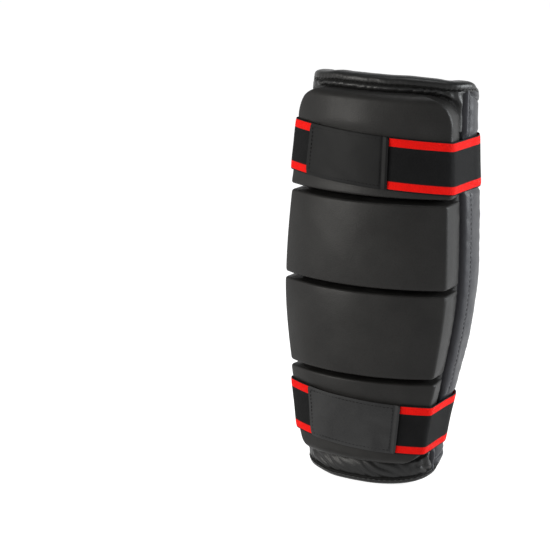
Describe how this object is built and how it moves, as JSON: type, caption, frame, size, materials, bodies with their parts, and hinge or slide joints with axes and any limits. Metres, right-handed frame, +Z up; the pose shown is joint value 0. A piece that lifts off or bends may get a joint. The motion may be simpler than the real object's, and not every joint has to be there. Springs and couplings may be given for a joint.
{
  "type": "strap-on shin guard",
  "caption": "Strap-on padded shin guard for kickboxing: raised foam blocks on a curved shell, wrap-round calf wings, gathered lining, and two elastic hook-and-loop calf straps.",
  "frame": {"origin": "bottom of the ankle hem, at the middle of the whole guard's width and depth", "axes": "+Z up the shin, from ankle to knee; -Y forwards, out of the blocks; X across the leg, with the straps' free ends opening towards -X"},
  "size_m": [0.1562, 0.1145, 0.36],
  "materials": {
    "cover_leather": "satin",
    "binding_leather": "satin",
    "tab_leather": "satin",
    "lining_nylon": "satin",
    "elastic": "matte",
    "hook_and_loop": "matte",
    "thread": "matte",
    "foam": "matte"
  },
  "bodies": {
    "guard": {"shell_backing": "cover_leather", "shell_foam": "foam", "shin_cushion": "foam", "lining": "lining_nylon", "top_block_foam": "foam", "upper_block_foam": "foam", "lower_block_foam": "foam", "ankle_block_foam": "foam", "top_block_cover": "cover_leather", "upper_block_cover": "cover_leather", "lower_block_cover": "cover_leather", "ankle_block_cover": "cover_leather", "groove_seams": "thread", "top_hem_roll": "binding_leather", "bottom_hem_roll": "binding_leather", "top_binding": "binding_leather", "bottom_binding": "binding_leather", "left_wing_cover": "cover_leather", "left_wing_foam": "foam", "left_wing_facing": "cover_leather", "left_wing_binding": "binding_leather", "right_wing_cover": "cover_leather", "right_wing_foam": "foam", "right_wing_facing": "cover_leather", "right_wing_binding": "binding_leather", "calf_band": "elastic", "upper_loop_patch": "hook_and_loop", "upper_strap_anchor": "elastic", "lower_loop_patch": "hook_and_loop", "lower_strap_anchor": "elastic"},
    "upper_back": {"upper_strap_back": "elastic"},
    "upper_side": {"upper_strap_side": "elastic"},
    "upper_closure": {"upper_strap_end": "elastic", "upper_hook_strip": "hook_and_loop", "upper_pull_tab": "tab_leather"},
    "lower_back": {"lower_strap_back": "elastic"},
    "lower_side": {"lower_strap_side": "elastic"},
    "lower_closure": {"lower_strap_end": "elastic", "lower_hook_strip": "hook_and_loop", "lower_pull_tab": "tab_leather"}
  },
  "joints": [
    {"name": "upper_back_swing", "type": "hinge", "parent": "guard", "child": "upper_back", "pos_m": [0.05197, 0.05634, 0.28689], "axis": [0.044, 0.0373, -0.9983], "range_deg": [0, 24]},
    {"name": "upper_side_swing", "type": "hinge", "parent": "upper_back", "child": "upper_side", "pos_m": [-0.05171, 0.05614, 0.29311], "axis": [-0.0427, 0.0338, -0.9985], "range_deg": [0, 120]},
    {"name": "upper_closure_peel", "type": "hinge", "parent": "upper_side", "child": "upper_closure", "pos_m": [-0.07177, -0.03125, 0.29432], "axis": [-0.0577, -0.0344, -0.9977], "range_deg": [0, 110]},
    {"name": "lower_back_swing", "type": "hinge", "parent": "guard", "child": "lower_back", "pos_m": [0.04418, 0.04419, 0.05633], "axis": [-0.0968, -0.1207, -0.988], "range_deg": [0, 24]},
    {"name": "lower_side_swing", "type": "hinge", "parent": "lower_back", "child": "lower_side", "pos_m": [-0.04469, 0.04484, 0.06167], "axis": [0.1014, -0.1294, -0.9864], "range_deg": [0, 120]},
    {"name": "lower_closure_peel", "type": "hinge", "parent": "lower_side", "child": "lower_closure", "pos_m": [-0.06242, -0.03147, 0.06272], "axis": [0.1399, 0.0318, -0.9897], "range_deg": [0, 110]}
  ],
  "couplings": [
    {"joint": "upper_back_swing", "follows": "upper_side_swing", "ratio": 0.2},
    {"joint": "lower_back_swing", "follows": "lower_side_swing", "ratio": 0.2}
  ]
}
